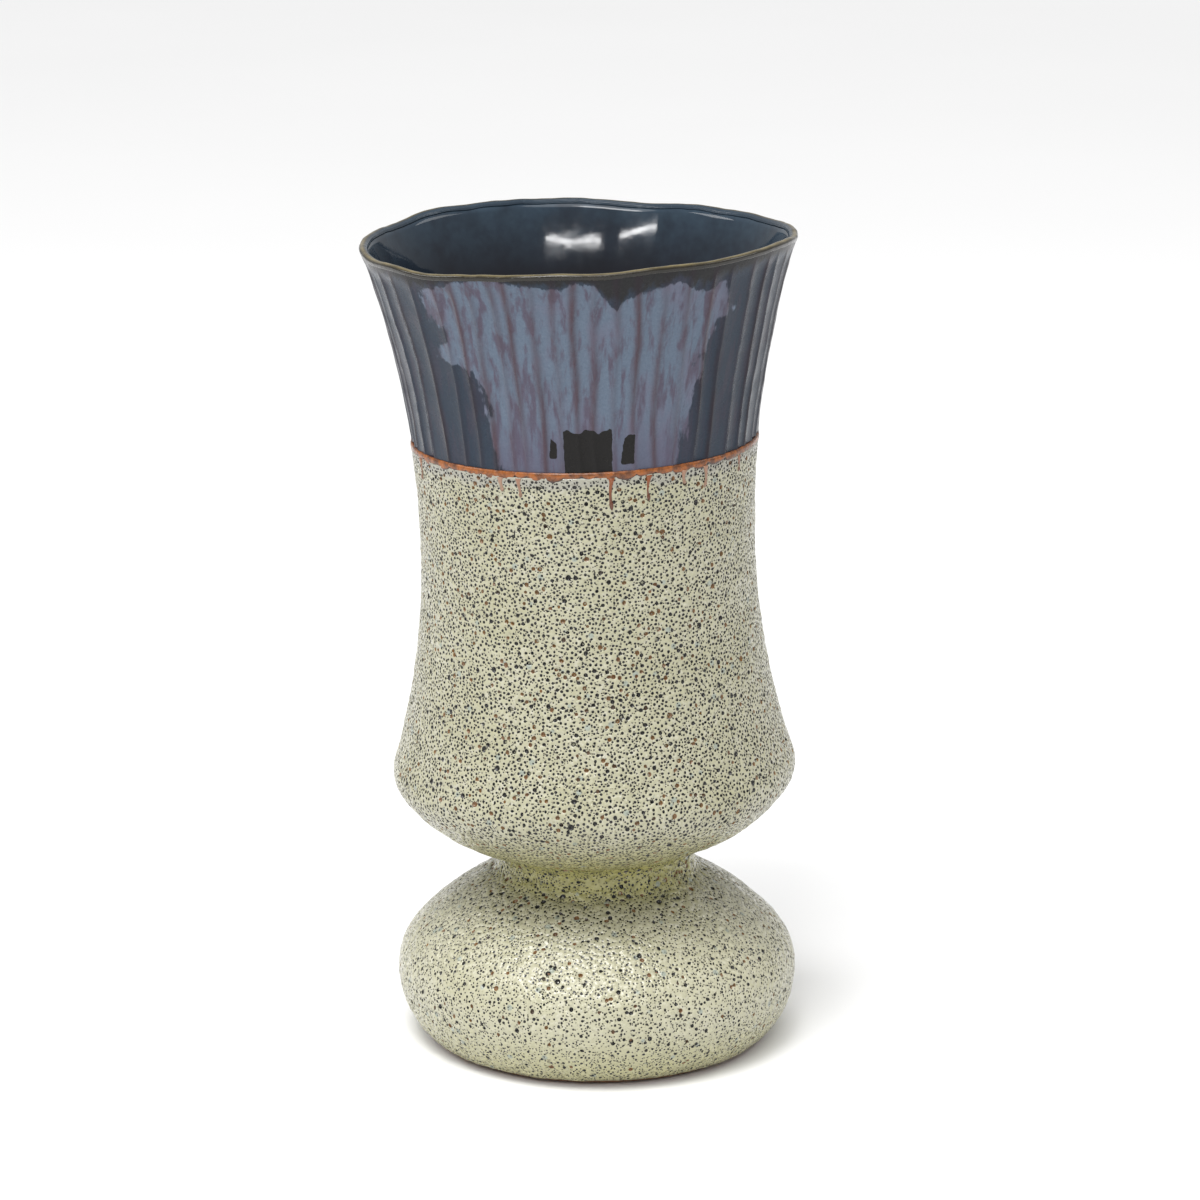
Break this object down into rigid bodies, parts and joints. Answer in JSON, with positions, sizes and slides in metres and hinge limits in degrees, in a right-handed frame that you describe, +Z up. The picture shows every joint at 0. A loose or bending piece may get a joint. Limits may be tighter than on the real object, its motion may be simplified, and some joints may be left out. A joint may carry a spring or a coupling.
{
  "type": "pedestal vase",
  "caption": "Hand-made stoneware vase: a waisted vessel with a fluted flaring collar on a hollow squashed bulb foot, for flowers or display.",
  "frame": {"origin": "centre of the flat base, on the surface that the vase stands on", "axes": "+Z up; the viewer of the front stands on the -Y side with +X to the right; the vessel leans 1.6 degrees towards -X"},
  "size_m": [0.1711, 0.1698, 0.3237],
  "materials": {
    "stoneware": "fired, unglazed, matt, buff-brown with fine grog",
    "lava_glaze": "satin pale green-cream crater glaze with dark pits",
    "blue_glaze": "glossy slate-blue with lighter mottling and brown breaks on the ridges",
    "iron_glaze": "semi-gloss rust-orange iron glaze",
    "rim_glaze": "glossy olive-black breaking to golden brown on the lip",
    "liner_glaze": "high-gloss navy-black with teal mottling"
  },
  "bodies": {
    "root": {"vessel_wall": "stoneware", "foot_bulb": "stoneware", "neck_coil": "stoneware", "lava_glaze_vessel": "lava_glaze", "lava_glaze_foot": "lava_glaze", "lava_glaze_neck": "lava_glaze", "collar_glaze": "blue_glaze", "iron_line": "iron_glaze", "iron_drips": "iron_glaze", "rim_glaze": "rim_glaze", "liner_vessel": "liner_glaze", "liner_foot": "liner_glaze"}
  },
  "joints": []
}
